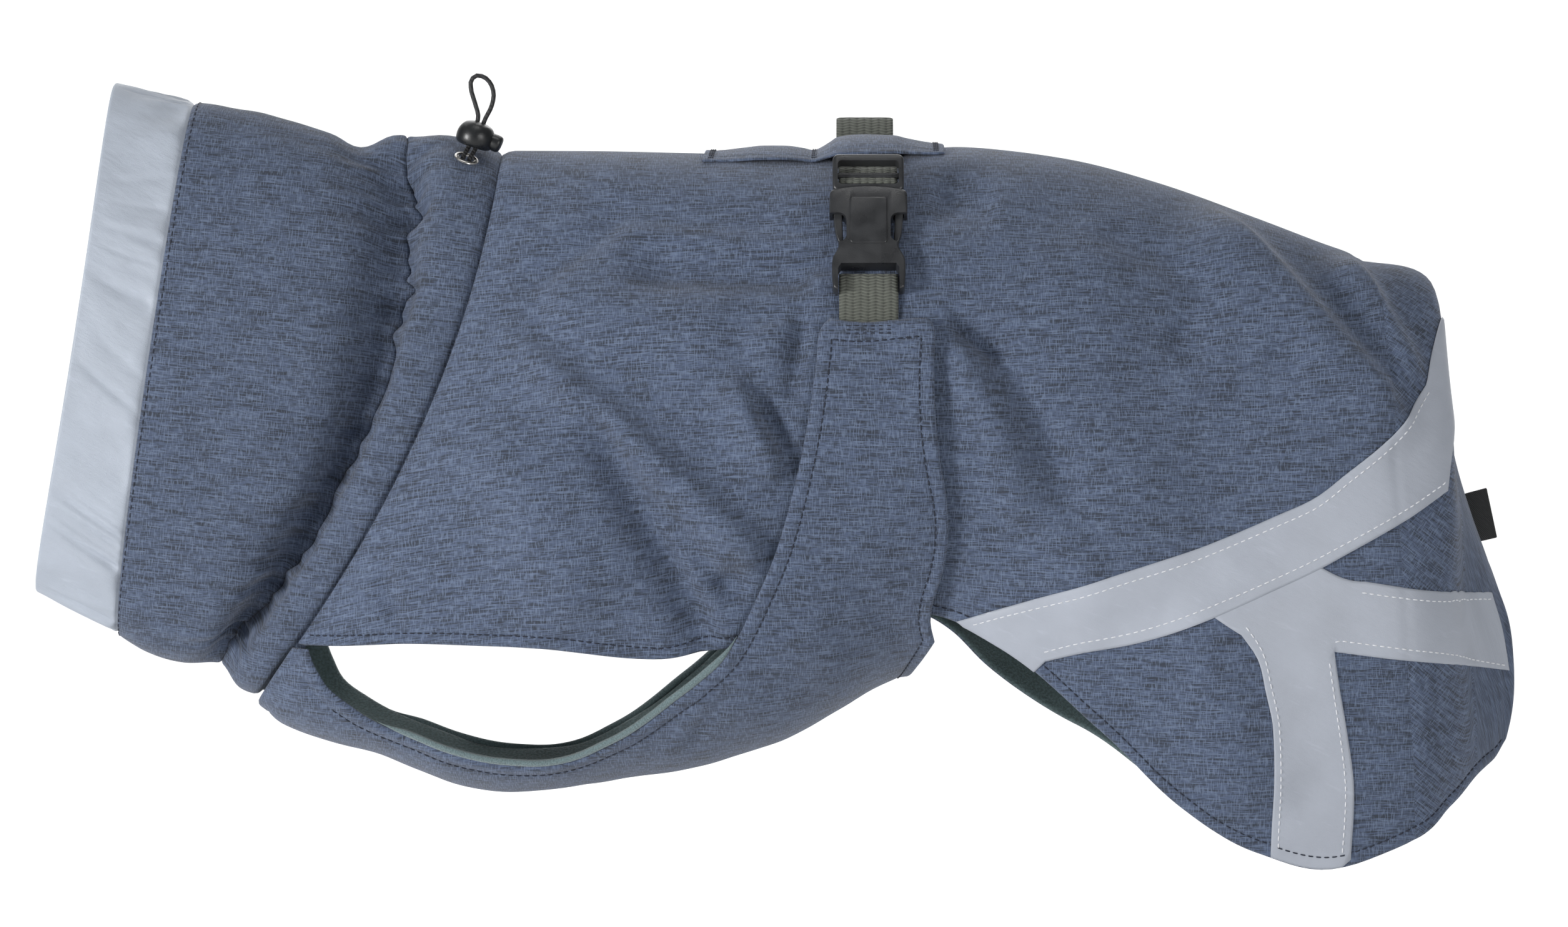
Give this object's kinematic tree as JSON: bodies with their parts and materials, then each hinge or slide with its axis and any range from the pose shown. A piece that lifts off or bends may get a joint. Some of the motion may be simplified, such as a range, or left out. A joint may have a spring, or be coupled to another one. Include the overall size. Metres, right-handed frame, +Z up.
{
  "type": "dog winter jacket",
  "caption": "Dog's winter jacket, filled out as worn: standing collar, drawn-in neck, leg openings, belly panel with buckled straps, reflective tape at the rump.",
  "frame": {"origin": "On the inner face of the back, at the withers, where the wearer holds the jacket up.", "axes": "+X from the head end to the tail, +Y to the wearer's right, +Z up."},
  "size_m": [0.6203, 0.1858, 0.327],
  "materials": {
    "shell_fabric": "matte heather weave",
    "reflective_tape": "smooth satin, retroreflective",
    "lining": "matte fleece",
    "webbing": "matte, woven in ribs",
    "black_cloth": "satin cord and label cloth",
    "plastic": "fine-grained, satin",
    "steel": "plated"
  },
  "bodies": {
    "root": {"collar_band": "reflective_tape", "collar": "shell_fabric", "cord_channel": "shell_fabric", "body_left": "shell_fabric", "body_right": "shell_fabric", "rump_gore_left": "shell_fabric", "rump_gore_right": "shell_fabric", "belly_panel": "shell_fabric", "belly_lining_roll_left": "lining", "belly_lining_roll_right": "lining", "stripe_left": "reflective_tape", "stripe_right": "reflective_tape", "stripe_branch_left": "reflective_tape", "stripe_branch_right": "reflective_tape", "spine_loop": "shell_fabric", "webbing_top": "webbing", "webbing_low_left": "webbing", "webbing_low_right": "webbing", "buckle_plug_left": "plastic", "buckle_plug_right": "plastic", "buckle_socket_left": "plastic", "buckle_socket_right": "plastic", "label": "black_cloth", "eyelet": "steel", "toggle": "plastic", "toggle_button": "plastic", "drawcord": "black_cloth"}
  },
  "joints": []
}
